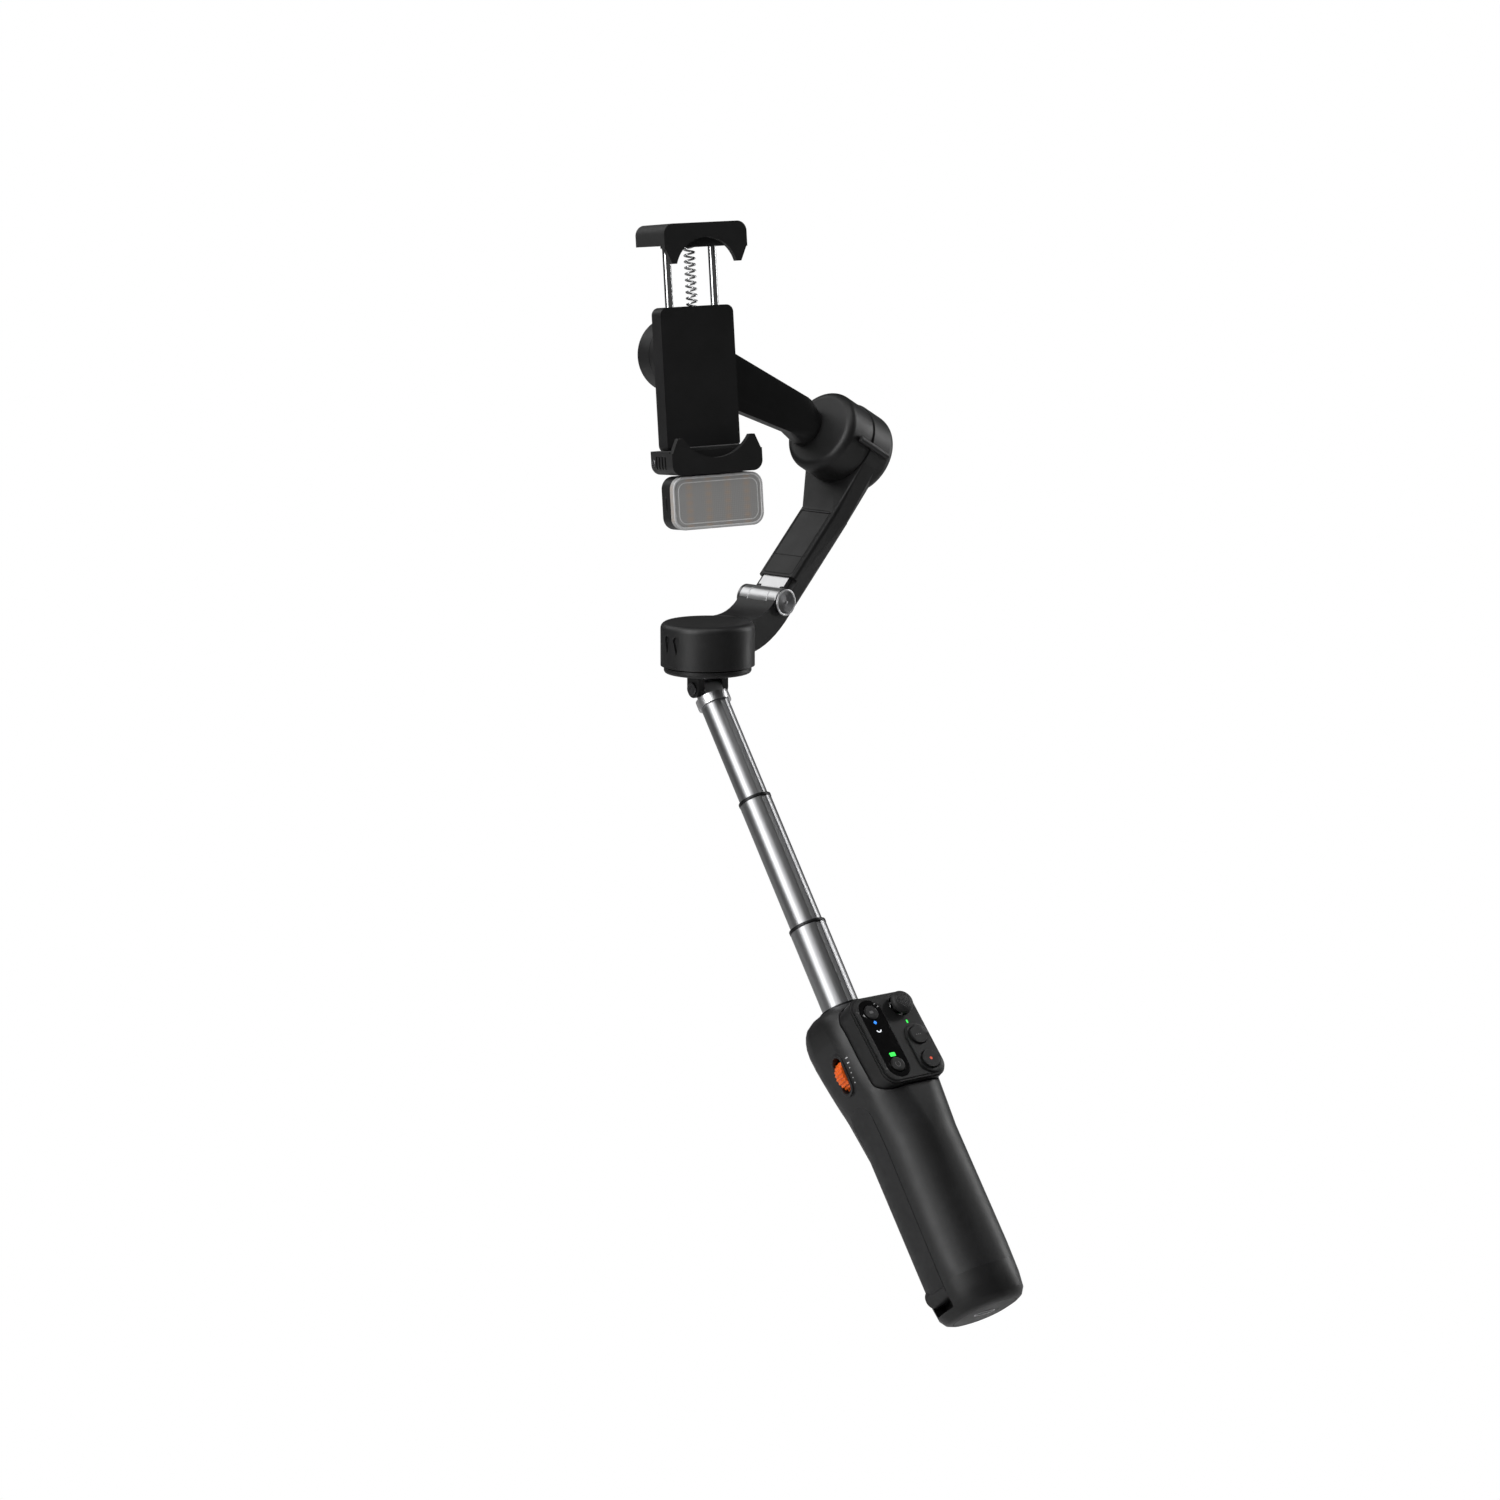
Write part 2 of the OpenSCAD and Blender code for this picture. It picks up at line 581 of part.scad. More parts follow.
module tilt_rotor() color("#1b1c1e") in_tilt() mirror([0, 0, 1]) {
  difference() {
    translate([0, 0, tilt_front + tilt_seam - 0.3]) mirror([0, 0, 1])
      soft_drum(tilt_r, tilt_front, tilt_seam - 0.3, 3.5);
    bar(tilt_r - 2, tilt_front + 3, tilt_seam + 1);
  }
  bar(tilt_shaft_r, tilt_front + 2, 93);
}

// ---------- link and roll motor ----------
roll_r = 15;
module link_arm() color("#1b1c1e") difference() {
  union() {
    hull() {
      in_tilt() translate([0, 7, -tilt_front]) cylinder(r = 8, h = 2.5, $fn = 32);
      in_clamp() translate([52, 0, -26]) across_y(8, 23, 31, $fn = 32);
    }
    hull() {
      in_clamp() translate([52, 0, -26]) across_y(8, 23, 31, $fn = 32);
      in_clamp() across_y(12, 24.5, 31.5, $fn = 32);
    }
    in_clamp() across_y(roll_r, 21.6, 32);
  }
  in_clamp() across_y(roll_r - 2, 20, 30);
}
module roll_stator() color("#b06a35") in_clamp() rotate([-90, 0, 0]) {
  stator(5.2, 11.2, 15.5, 21.2);
  pipe(12.9, 4.5, 28, 30);
  pipe(5.2, 4.5, 15.5, 28.2);
}
module roll_bearing() color("#a8abaf") in_clamp() rotate([-90, 0, 0])
  bearing(4.5, tilt_shaft_r + run, 22, 26);
module roll_rotor() color("#1b1c1e") in_clamp() rotate([-90, 0, 0]) {
  difference() {
    bar(roll_r, block_y[1], 21.3);
    bar(roll_r - 2, block_y[1] + 2, 22);
  }
  bar(tilt_shaft_r, block_y[1] + 1, 27);
}

// ---------- clamp ----------
module rod_places() for (s = [-1, 1]) translate([s * rod_x, (block_y[0] + block_y[1]) / 2, 0]) children();
module clamp_block() color("#1b1c1e") in_jaws() difference() {
  along_y(block_y[0], block_y[1]) translate([0, (block_z[0] + block_z[1]) / 2])
    rounded(block_w, block_z[1] - block_z[0], 3);
  rod_places() bar(rod_r + run, block_z[0] + 4, block_z[1] + 1);
  translate([0, (block_y[0] + block_y[1]) / 2, 0]) bar(2.7, -20, block_z[1] + 1);
  // step that keeps the phone's rest clear of the lower jaw
  box([-20, 20], [block_y[0] - 1, block_y[0] + block_step], [block_z[0] - 1, lower_seat]);
}
// flat outline of a jaw from its rounded base up to the phone's seat
module jaw_outline(w, base, top) {
  translate([-w / 2, base + jaw_round]) square([w, top - base - jaw_round]);
  translate([-w / 2 + jaw_round, base]) square([w - 2 * jaw_round, jaw_round + 1]);
  for (s = [-1, 1]) translate([s * (w / 2 - jaw_round), base + jaw_round]) circle(r = jaw_round);
}
// the same with two claws that reach up beside a hollow
module claw_outline(w, base, tip, valley) {
  half = w / 2 - 5;
  sag = tip - valley;
  arc_r = (half * half + sag * sag) / (2 * sag);
  difference() {
    jaw_outline(w, base, tip);
    translate([0, valley + arc_r]) circle(r = arc_r);
    // outer shoulders of the claws slope in to their tips
    for (s = [-1, 1]) translate([s * (w / 2 - 1.2), tip + 1]) rotate(s * 24)
      square([4, 13], center = true);
  }
}
lower_base = -46.4;
upper_top = 51.4;
module lower_jaw() color("#161719") in_jaws() difference() {
  union() {
    along_y(screen_y - lip_t - 0.1, screen_y - 0.1) claw_outline(lower_jaw_w, lower_base, -32, -40.2);
    along_y(screen_y - 0.2, block_y[1]) jaw_outline(lower_jaw_w, lower_base, lower_seat - pad_t);
  }
  box([-block_w / 2 - 0.02, block_w / 2 + 0.02], [block_y[0] + block_step, 20], [block_z[0], 0]);
  box([-8.1, 8.1], [-1.1, 3.1], [lower_base - 1, lower_base + 2.3]);
  // ribbed recess in the left flank
  for (i = [0:3]) box([-22, -lower_jaw_w / 2 + 0.7], [-1 + i * 2.6, 0.3 + i * 2.6], [-44, -39]);
}
module lower_jaw_pad() color("#2c2d30") in_jaws()
  box([-14.5, 14.5], [screen_y + 0.1, block_y[0] - 0.1], [lower_seat - pad_t, lower_seat - 0.15]);
module upper_jaw() color("#161719") in_jaws() difference() {
  mirror([0, 0, 1]) union() {
    along_y(screen_y - lip_t - 0.1, screen_y - 0.1) claw_outline(upper_jaw_w, -upper_top, -35.8, -45.6);
    along_y(screen_y - 0.2, 19) jaw_outline(upper_jaw_w, -upper_top, -upper_seat - pad_t);
  }
  rod_places() bar(rod_r, 0, upper_top - 2.4);
}
module jaw_rods() color("#c4c6ca") in_jaws() rod_places() bar(rod_r, -12, upper_top - 2.4);
module upper_jaw_pad() color("#2c2d30") in_jaws()
  box([-14.5, 14.5], [screen_y + 0.1, block_y[0] - 0.1], [upper_seat + 0.15, upper_seat + pad_t]);
module clamp_spring() color("#9a9da1") in_jaws()
  translate([0, (block_y[0] + block_y[1]) / 2, 0]) pipe(2.4, 1.6, -19.8, upper_seat + pad_t - 0.05);

// ---------- fill light ----------
light_mid = light_top - light_h / 2;
module light_outline(inset = 0)
  translate([0, light_mid]) rounded(light_w - 2 * inset, light_h - 2 * inset, 5 - inset);
module light_case() color("#1b1c1e") in_jaws() {
  difference() {
    along_y(light_y[0] + 2.6, light_y[1]) light_outline();
    along_y(light_y[0], light_y[1] - 1.6) light_outline(1.6);
  }
  // magnetic tongue
  box([-8, 8], [-1, 3], [light_top - 1, lower_base + 2.2]);
}
module light_diffuser() color([0.72, 0.72, 0.7, 0.8]) in_jaws() difference() {
  along_y(light_y[0], light_y[0] + 2.6) light_outline();
  along_y(light_y[0] + 1.4, light_y[0] + 3) light_outline(1.6);
}
led_columns = 4;
led_rows = 5;
module light_board() color("#e8e4da") in_jaws() {
  along_y(0.2, 1.4) light_outline(1.8);
  for (i = [0:led_columns - 1], j = [0:led_rows - 1])
    translate([(i - 1.5) * 8.4, 0, light_mid + (j - 2) * 3.1])
      box([-1, 1], [-0.5, 0.25], [-1, 1]);
}

// ---------- remote ----------
module remote_outline(inset = 0) translate([0, remote_off]) rounded(
  remote_w - 2 * inset, remote_l - 2 * inset, 6 - inset);
module window_outline(g = 0) translate([window_x, 0]) slot(window_r + g, window_y[0], window_y[1]);
module plinth_outline() translate([big_x, 0]) slot(plinth_r, record_y, mode_y);
module remote_case() color("#1e1f21") in_remote() difference() {
  union() {
    remote_slab(-remote_t, 0, 1.2);
    linear_extrude(plinth_h) plinth_outline();
  }
  translate([0, 0, -remote_t + 1.4]) linear_extrude(remote_t - 1.4 - remote_wall)
    remote_outline(1.6);
  translate([0, 0, -0.9]) linear_extrude(2) window_outline(0.1);
  translate([0, 0, -4]) linear_extrude(5) window_outline(-1.2);
  for (y = [mode_y, record_y]) translate([big_x, y]) bar(big_button_r + gap, -5, 3);
  translate([stick_x, stick_y]) bar(4.6, -5, 3);
}
// block of the remote with its front edge stepped in
module remote_slab(z0, z1, step) for (k = [[0, 1], [1 / 3, 1 / 3], [1, 0]])
  translate([0, 0, z0]) linear_extrude(z1 - z0 - k[1] * step) remote_outline(k[0] * step);
module remote_window() color("#050506") in_remote() difference() {
  translate([0, 0, -0.85]) linear_extrude(0.85) window_outline();
  for (y = window_y) translate([window_x, y]) bar(small_button_r + gap, -5, 3);
}
module remote_board() color("#1d5c3a") in_remote() {
  translate([0, remote_off, -6.2]) linear_extrude(1.2) rounded(26, 33, 4);
  box([-11, 11], [-16, 6], [-7.2, -6.2]);
}
module push_button(x, y, r, low, high) translate([x, y]) {
  bar(r, low, high);
  bar(r - 1.3, low - 1.2, low + e);
}
module screen_button() color("#242528") in_remote()
  push_button(window_x, window_y[1], small_button_r, -2.6, 0.35);
module power_button() color("#242528") in_remote()
  push_button(window_x, window_y[0], small_button_r, -2.6, 0.35);
module mode_button() color("#242528") in_remote()
  push_button(big_x, mode_y, big_button_r, -2.6, plinth_h + 0.7);
module record_button() color("#242528") in_remote()
  push_button(big_x, record_y, big_button_r, -2.6, plinth_h + 0.7);
module joystick_ring() color("#4a4c50") in_remote() translate([stick_x, stick_y, stick_pivot])
  difference() {
    union() {
      pipe(3.6, 2.5, -0.7, 0.7);
      for (s = [-1, 1]) translate([0, s * 3.9, 0]) across_y(0.5, -0.5, 0.5);
    }
    across_x(0.5 + run, -5, 5);
  }
module joystick_stick() color("#222326") in_remote() translate([stick_x, stick_y, stick_pivot]) {
  sphere(r = 1.6);
  bar(1.1, 0, 5.5);
  soft_drum(4.7, 4.8, 7.1, 1.6);
  bar(3, 4.2, 4.8 + e);
  across_x(0.5, -3.4, 3.4);
}

handle_front_shell();
handle_rear_shell();
base_cap();
usb_socket();
battery_cell();
main_board();
guide_tube();
dock_contacts();
dial_axle();
leg_pins();
left_leg();
left_leg_grip();
right_leg();
right_leg_grip();
rear_leg();
rear_leg_grip();
zoom_dial();
rod_lower();
rod_lower_ring();
rod_middle();
rod_middle_ring();
rod_upper();
neck_knuckle();
clevis();
clevis_pin();
pan_stator();
pan_bearing();
pan_housing();
pan_magnets();
fold_knuckles();
fold_pin();
fold_leaf();
arm_shell();
arm_cover();
tilt_stator();
tilt_bearing();
tilt_rotor();
link_arm();
roll_stator();
roll_bearing();
roll_rotor();
clamp_block();
lower_jaw();
lower_jaw_pad();
upper_jaw();
jaw_rods();
upper_jaw_pad();
clamp_spring();
light_case();
light_diffuser();
light_board();
remote_case();
remote_window();
remote_board();
joystick_ring();
joystick_stick();
screen_button();
power_button();
mode_button();
record_button();
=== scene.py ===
import json
import math
from math import cos, pi, radians, sin

import bmesh
import bpy
from mathutils import Matrix, Vector

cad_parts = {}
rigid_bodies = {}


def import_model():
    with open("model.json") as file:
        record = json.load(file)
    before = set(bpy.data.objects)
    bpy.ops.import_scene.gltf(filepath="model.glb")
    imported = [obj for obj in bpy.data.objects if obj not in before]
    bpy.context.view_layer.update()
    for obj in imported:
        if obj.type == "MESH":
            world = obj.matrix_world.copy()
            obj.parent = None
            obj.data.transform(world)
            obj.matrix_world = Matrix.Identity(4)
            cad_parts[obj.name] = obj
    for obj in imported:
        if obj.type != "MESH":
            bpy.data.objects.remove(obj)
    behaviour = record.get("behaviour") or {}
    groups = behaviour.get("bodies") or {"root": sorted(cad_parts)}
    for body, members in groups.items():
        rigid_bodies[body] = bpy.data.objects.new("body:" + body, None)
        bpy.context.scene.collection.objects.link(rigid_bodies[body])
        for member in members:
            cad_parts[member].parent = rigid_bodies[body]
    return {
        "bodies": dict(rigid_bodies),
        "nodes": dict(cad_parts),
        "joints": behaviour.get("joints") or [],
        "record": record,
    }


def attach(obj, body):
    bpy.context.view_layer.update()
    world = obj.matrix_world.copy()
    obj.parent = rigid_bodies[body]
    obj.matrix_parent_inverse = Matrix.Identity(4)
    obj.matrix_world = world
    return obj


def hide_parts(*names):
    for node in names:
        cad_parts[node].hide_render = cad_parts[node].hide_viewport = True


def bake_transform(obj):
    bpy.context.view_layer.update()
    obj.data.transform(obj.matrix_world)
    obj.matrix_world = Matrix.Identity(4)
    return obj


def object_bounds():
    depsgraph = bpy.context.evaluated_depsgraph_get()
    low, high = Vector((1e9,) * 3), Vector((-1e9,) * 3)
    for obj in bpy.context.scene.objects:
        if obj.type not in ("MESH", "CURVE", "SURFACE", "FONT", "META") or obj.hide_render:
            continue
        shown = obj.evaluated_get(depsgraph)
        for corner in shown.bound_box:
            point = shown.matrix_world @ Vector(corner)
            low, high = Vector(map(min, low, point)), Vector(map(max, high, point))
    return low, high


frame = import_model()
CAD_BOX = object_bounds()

MM = 0.001
nodes = frame["nodes"]

# ---------------------------------------------------------------- frames
HANDLE_LEAN = 36
ARM_AZIMUTH = 7
CLAMP_YAW = -11.4
CLAMP_TILT = 4.5
CLAMP_ROLL = -1.1
CLAMP_SHIFT = -1.2
TILT_RISE = 28
ARM_RISE = 45.2
GIMBAL_H = 106
HEAD_RISE = 26.4
REMOTE_SLANT = 7
REMOTE_AT = (0, -24.9, 52.7)
HINGE_AT = (33.3, 0, 5.3)
STICK_AT = (7.7, 11.1, -3.2)
PORT_AT = (0, -9, -57)
ROLL_BACK = 32        # rear face of the roll motor, behind the axis crossing
TILT_BACK = 102.4     # outer face of the tilt motor, along its axis


def turn(axis, angle):
    return Matrix.Rotation(radians(angle), 4, axis)


def move(x, y, z):
    return Matrix.Translation(Vector((x, y, z)) * MM)


joint_at = {j["name"]: Vector(j["pos_m"]) for j in frame["joints"] if j.get("pos_m")}
NECK = Matrix.Translation(joint_at["neck_tilt"])
TOP = NECK @ move(0, 0, HEAD_RISE)
HANDLE = turn("X", -HANDLE_LEAN)
PAN = TOP @ turn("Z", ARM_AZIMUTH)
ARM = PAN @ move(*HINGE_AT) @ turn("Y", -ARM_RISE)
TILT = PAN @ move(0, 0, GIMBAL_H) @ turn("Y", TILT_RISE - 90)
CLAMP = TOP @ move(0, 0, GIMBAL_H) @ turn("Z", CLAMP_YAW) @ turn("X", -CLAMP_TILT)
JAWS = CLAMP @ turn("Y", CLAMP_ROLL) @ move(CLAMP_SHIFT, 0, 0)
REMOTE = HANDLE @ move(*REMOTE_AT) @ turn("X", 90 - REMOTE_SLANT)
STICK = REMOTE @ move(*STICK_AT)
PORT = HANDLE @ move(*PORT_AT)
ROLL_END = CLAMP @ move(0, ROLL_BACK, 0) @ turn("X", -90)
TILT_END = TILT @ move(0, 0, -TILT_BACK) @ turn("X", 180)


# ---------------------------------------------------------------- materials
class Shader:
    """A node material on the Principled shader, with a few shorthands."""

    def __init__(self, name):
        self.m = bpy.data.materials.new(name)
        self.m.use_nodes = True
        self.t = self.m.node_tree
        self.p = self.t.nodes["Principled BSDF"]
        self.coord = self.new("ShaderNodeTexCoord").outputs["Object"]

    def new(self, kind, **props):
        n = self.t.nodes.new(kind)
        for k, v in props.items():
            setattr(n, k, v)
        return n

    def link(self, a, b):
        self.t.links.new(a, b)

    def set(self, **values):
        for k, v in values.items():
            self.p.inputs[k.replace("_", " ")].default_value = v
        return self

    def noise(self, scale, detail=3, rough=0.55, at=None):
        n = self.new("ShaderNodeTexNoise")
        n.inputs["Scale"].default_value = scale
        n.inputs["Detail"].default_value = detail
        n.inputs["Roughness"].default_value = rough
        self.link(at or self.coord, n.inputs["Vector"])
        return n.outputs["Fac"]

    def stretch(self, matrix, scale):
        """Coordinates in a part's own frame, scaled along its axes."""
        n = self.new("ShaderNodeMapping", vector_type="TEXTURE")
        n.inputs["Location"].default_value = matrix.translation
        n.inputs["Rotation"].default_value = matrix.to_euler()
        n.inputs["Scale"].default_value = [1 / s for s in scale]
        self.link(self.coord, n.inputs["Vector"])
        return n.outputs["Vector"]

    def spread(self, value, low, high, in_low=0.3, in_high=0.7):
        n = self.new("ShaderNodeMapRange")
        for key, v in (("From Min", in_low), ("From Max", in_high), ("To Min", low), ("To Max", high)):
            n.inputs[key].default_value = v
        self.link(value, n.inputs["Value"])
        return n.outputs["Result"]

    def tint(self, value, dark, light):
        n = self.new("ShaderNodeMix", data_type="RGBA")
        n.inputs["A"].default_value = (*dark, 1)
        n.inputs["B"].default_value = (*light, 1)
        self.link(value, n.inputs["Factor"])
        self.link(n.outputs["Result"], self.p.inputs["Base Color"])
        return self

    def bands(self, frame, pitch, axis="X", peak=0.0):
        """Smooth stripes across a frame's axis, with one stripe's middle at peak (mm)."""
        n = self.new("ShaderNodeTexWave", bands_direction=axis)
        n.inputs["Scale"].default_value = 2 * pi / (20 * pitch * MM)
        n.inputs["Phase Offset"].default_value = pi - 2 * pi * peak / pitch
        n.inputs["Distortion"].default_value = 0.0
        self.link(self.stretch(frame, (1, 1, 1)), n.inputs["Vector"])
        return n.outputs["Fac"]

    def times(self, a, b):
        n = self.new("ShaderNodeMath", operation="MULTIPLY")
        self.link(a, n.inputs[0])
        self.link(b, n.inputs[1])
        return n.outputs[0]

    def spun(self, frame):
        """Turns the brushed highlight round a frame's z axis."""
        off = self.new("ShaderNodeVectorMath", operation="SUBTRACT")
        self.link(self.coord, off.inputs[0])
        off.inputs[1].default_value = frame.translation
        ring = self.new("ShaderNodeVectorMath", operation="CROSS_PRODUCT")
        ring.inputs[0].default_value = frame.to_3x3() @ Vector((0, 0, 1))
        self.link(off.outputs[0], ring.inputs[1])
        unit = self.new("ShaderNodeVectorMath", operation="NORMALIZE")
        self.link(ring.outputs[0], unit.inputs[0])
        self.link(unit.outputs[0], self.p.inputs["Tangent"])
        return self

    def rough(self, value):
        self.link(value, self.p.inputs["Roughness"])
        return self

    def bump(self, value, strength, distance):
        n = self.new("ShaderNodeBump")
        n.inputs["Strength"].default_value = strength
        n.inputs["Distance"].default_value = distance
        self.link(value, n.inputs["Height"])
        last = self.p.inputs["Normal"].links
        if last:
            self.link(last[0].from_socket, n.inputs["Normal"])
        self.link(n.outputs["Normal"], self.p.inputs["Normal"])
        return self

    def edge_wear(self, value, amount, colour):
        """Lightens the colour where the surface turns sharply outwards."""
        g = self.new("ShaderNodeNewGeometry")
        edge = self.spread(g.outputs["Pointiness"], 0, amount, 0.53, 0.60)
        patchy = self.new("ShaderNodeMath", operation="MULTIPLY")
        self.link(edge, patchy.inputs[0])
        self.link(value, patchy.inputs[1])
        n = self.new("ShaderNodeMix", data_type="RGBA")
        n.inputs["B"].default_value = (*colour, 1)
        self.link(patchy.outputs[0], n.inputs["Factor"])
        base = self.p.inputs["Base Color"]
        self.link(base.links[0].from_socket, n.inputs["A"])
        self.link(n.outputs["Result"], base)
        return self


def moulded(name, dark, light, low, high, grain=0.09, spec=0.35):
    """Textured plastic: spark-eroded grain, uneven sheen, faintly rubbed edges."""
    s = Shader(name).set(Specular_IOR_Level=spec)
    cloud = s.noise(60, 4)
    s.tint(s.spread(cloud, 0, 1), dark, light)
    s.rough(s.spread(s.noise(140, 5), low, high))
    s.edge_wear(s.noise(500, 3), 0.5, [min(1, 2.6 * c) for c in light])
    s.bump(s.noise(3600, 2, 0.6), grain, 0.00012)
    s.bump(s.noise(900, 2), grain * 0.5, 0.0002)
    return s.m


def rubber(name, dark, light, low=0.62, high=0.8, grain=0.16):
    s = Shader(name).set(Specular_IOR_Level=0.28, Sheen_Weight=0.06, Sheen_Roughness=0.5)
    s.tint(s.spread(s.noise(90, 5), 0, 1), dark, light)
    s.rough(s.spread(s.noise(260, 4), low, high))
    s.bump(s.noise(2600, 3, 0.7), grain, 0.00018)
    return s.m


def metal(name, dark, light, low, high, along=None, drawn=(1, 1, 1), grain=0.05, aniso=0.0):
    """Metal with a drawn or turned grain, in the frame given by along."""
    s = Shader(name).set(Metallic=1.0, Anisotropic=aniso)
    at = s.stretch(along, drawn) if along is not None else None
    streak = s.noise(1500, 4, 0.65, at)
    s.tint(s.spread(streak, 0, 1), dark, light)
    s.rough(s.spread(s.noise(300, 4, 0.6, at), low, high))
    s.bump(streak, grain, 0.00002)
    return s.m


def lit(name, colour, strength, base=None):
    s = Shader(name).set(Emission_Strength=strength, Roughness=0.35)
    s.p.inputs["Emission Color"].default_value = (*colour, 1)
    body = base or [0.6 * c for c in colour]
    s.tint(s.noise(2200, 2), body, [min(1, 1.25 * c + 0.01) for c in body])
    s.bump(s.noise(3000, 2), 0.04, 0.0001)
    return s.m


ROD_GRAIN = (1, 1, 0.04)
mat = {
    "shell_black": moulded("black_shell", (0.0062,) * 3, (0.0088, 0.0088, 0.0092), 0.40, 0.48),
    "remote_black": moulded("remote_shell", (0.0055,) * 3, (0.008, 0.008, 0.0083), 0.36, 0.44, 0.06),
    "button_black": moulded("key_plastic", (0.007,) * 3, (0.010, 0.010, 0.0103), 0.32, 0.40, 0.04),
    "rubber_grey": rubber("leg_skin", (0.010, 0.010, 0.0105), (0.0145, 0.0145, 0.0152)),
    "jaw_rubber": rubber("jaw_rubber", (0.005,) * 3, (0.0072, 0.0072, 0.0074), 0.46, 0.58, 0.08),
    "stick_rubber": rubber("stick_rubber", (0.009,) * 3, (0.013, 0.013, 0.0135), 0.5, 0.62, 0.06),
    "tube_metal": metal("rod_tube", (0.25, 0.251, 0.256), (0.285, 0.287, 0.292), 0.30, 0.35,
                        HANDLE, ROD_GRAIN, 0.25),
    "ring_black": metal("dark_ring", (0.022, 0.022, 0.023), (0.032, 0.032, 0.033), 0.34, 0.44),
    "silver": metal("satin_silver", (0.56, 0.562, 0.568), (0.60, 0.602, 0.61), 0.30, 0.34, grain=0.01),
    "cap_metal": metal("turned_cap", (0.13, 0.13, 0.134), (0.17, 0.17, 0.175), 0.24, 0.3),
    "steel": metal("polished_steel", (0.52, 0.525, 0.53), (0.60, 0.603, 0.61), 0.12, 0.2),
    "copper": metal("wound_copper", (0.45, 0.18, 0.07), (0.66, 0.3, 0.12), 0.3, 0.45),
    "magnet": metal("magnet_plate", (0.28, 0.285, 0.3), (0.36, 0.365, 0.38), 0.22, 0.35),
    "contact_gold": metal("contact_gold", (0.6, 0.42, 0.16), (0.76, 0.56, 0.24), 0.2, 0.3),
    "port_metal": metal("port_shell", (0.72, 0.72, 0.73), (0.80, 0.80, 0.81), 0.34, 0.42),
    "cell_wrap": moulded("cell_wrap", (0.02, 0.09, 0.3), (0.03, 0.12, 0.38), 0.28, 0.36, 0.03),
    "board": moulded("solder_mask", (0.008, 0.06, 0.025), (0.012, 0.085, 0.035), 0.25, 0.38, 0.05),
    "led_board": moulded("led_board", (0.55, 0.53, 0.48), (0.66, 0.64, 0.58), 0.4, 0.5, 0.05),
    "dial_orange": moulded("dial_orange", (0.62, 0.085, 0.006), (0.78, 0.125, 0.012), 0.32, 0.42, 0.05,
                           0.45),
}
mat["record_key"] = mat["button_black"]


def window_glass():
    s = Shader("black_window").set(Specular_IOR_Level=0.25, Coat_Weight=0.1, Coat_Roughness=0.08)
    s.tint(s.noise(80, 3), (0.0012,) * 3, (0.002, 0.002, 0.0024))
    s.rough(s.spread(s.noise(420, 5), 0.09, 0.15))
    s.bump(s.noise(160, 2), 0.01, 0.0003)
    return s.m


LIGHT_MIDDLE = -57.4  # middle of the fill light, below the axis crossing
LED_PITCH = 8.4
ROW_PITCH = 3.1
RIB_PITCH = 0.8
HATCH_PITCH = 0.75


def diffuser_glass():
    """Ribbed window, opaque: the warm chips behind it are painted into its colour as four lighter columns
    crossed by rows, standing in for light seen through it.
    """
    s = Shader("ribbed_diffuser").set(Specular_IOR_Level=0.5, Coat_Weight=0.3, Coat_Roughness=0.12)
    face = JAWS @ move(0, 0, LIGHT_MIDDLE)
    # painted light: lighter warm columns and rows stand in for the chips seen through the window
    painted_chip_column = s.spread(s.bands(face, LED_PITCH, "X", LED_PITCH / 2), 0, 1, 0.55, 1.0)
    row = s.spread(s.bands(face, ROW_PITCH, "Z"), 0.5, 1, 0.2, 0.9)
    s.tint(s.times(painted_chip_column, row), (0.30, 0.298, 0.294), (0.36, 0.30, 0.255))
    s.rough(s.spread(s.noise(500, 4), 0.28, 0.40))
    s.bump(s.bands(face, RIB_PITCH, "X"), 0.12, 0.0001)
    s.bump(s.bands(face, RIB_PITCH, "Z"), 0.12, 0.0001)
    s.bump(s.noise(2400, 2), 0.04, 0.0001)
    return s.m


def hatched_rubber():
    """Rubber with a fine diamond pattern on the stick's cap."""
    s = Shader("hatched_cap").set(Specular_IOR_Level=0.35)
    s.tint(s.spread(s.noise(300, 4), 0, 1), (0.010,) * 3, (0.015, 0.015, 0.0155))
    s.rough(s.spread(s.noise(400, 4), 0.42, 0.54))
    lattice = REMOTE @ turn("Z", 45)
    s.bump(s.times(s.bands(lattice, HATCH_PITCH, "X"), s.bands(lattice, HATCH_PITCH, "Y")), 0.7, 0.0002)
    return s.m


def spun_face(name, frame):
    """Face of a turned cap, with the highlight running round its middle."""
    s = Shader(name).set(Metallic=1.0, Anisotropic=0.85)
    s.tint(s.spread(s.noise(900, 4), 0, 1), (0.17, 0.17, 0.175), (0.22, 0.22, 0.226))
    s.rough(s.spread(s.noise(500, 4), 0.30, 0.36))
    s.bump(s.noise(2400, 3), 0.02, 0.00002)
    return s.spun(frame).m


mat["window"] = window_glass()
mat["diffuser"] = diffuser_glass()
clear_rim = moulded("clear_rim", (0.42,) * 3, (0.48, 0.48, 0.485), 0.22, 0.3, 0.02, 0.6)
printed = moulded("printed_mark", (0.30,) * 3, (0.36, 0.36, 0.365), 0.4, 0.5, 0.02)
key_print = moulded("key_print", (0.07,) * 3, (0.09, 0.09, 0.091), 0.4, 0.5, 0.02)
groove = moulded("dark_groove", (0.002,) * 3, (0.003, 0.003, 0.003), 0.5, 0.6, 0.03, 0.2)
sign_blue = lit("sign_blue", (0.02, 0.24, 0.95), 1.0)
sign_white = lit("sign_white", (0.75, 0.78, 0.82), 0.8)
sign_green = lit("sign_green", (0.03, 0.80, 0.08), 1.0)
spot_red = lit("spot_red", (0.80, 0.09, 0.03), 0.45)

slot_of = {p["node"]: p["material_slot"] for p in frame["record"]["subparts"]}
for name, obj in nodes.items():
    obj.data.materials.clear()
    obj.data.materials.append(mat[slot_of[name]])


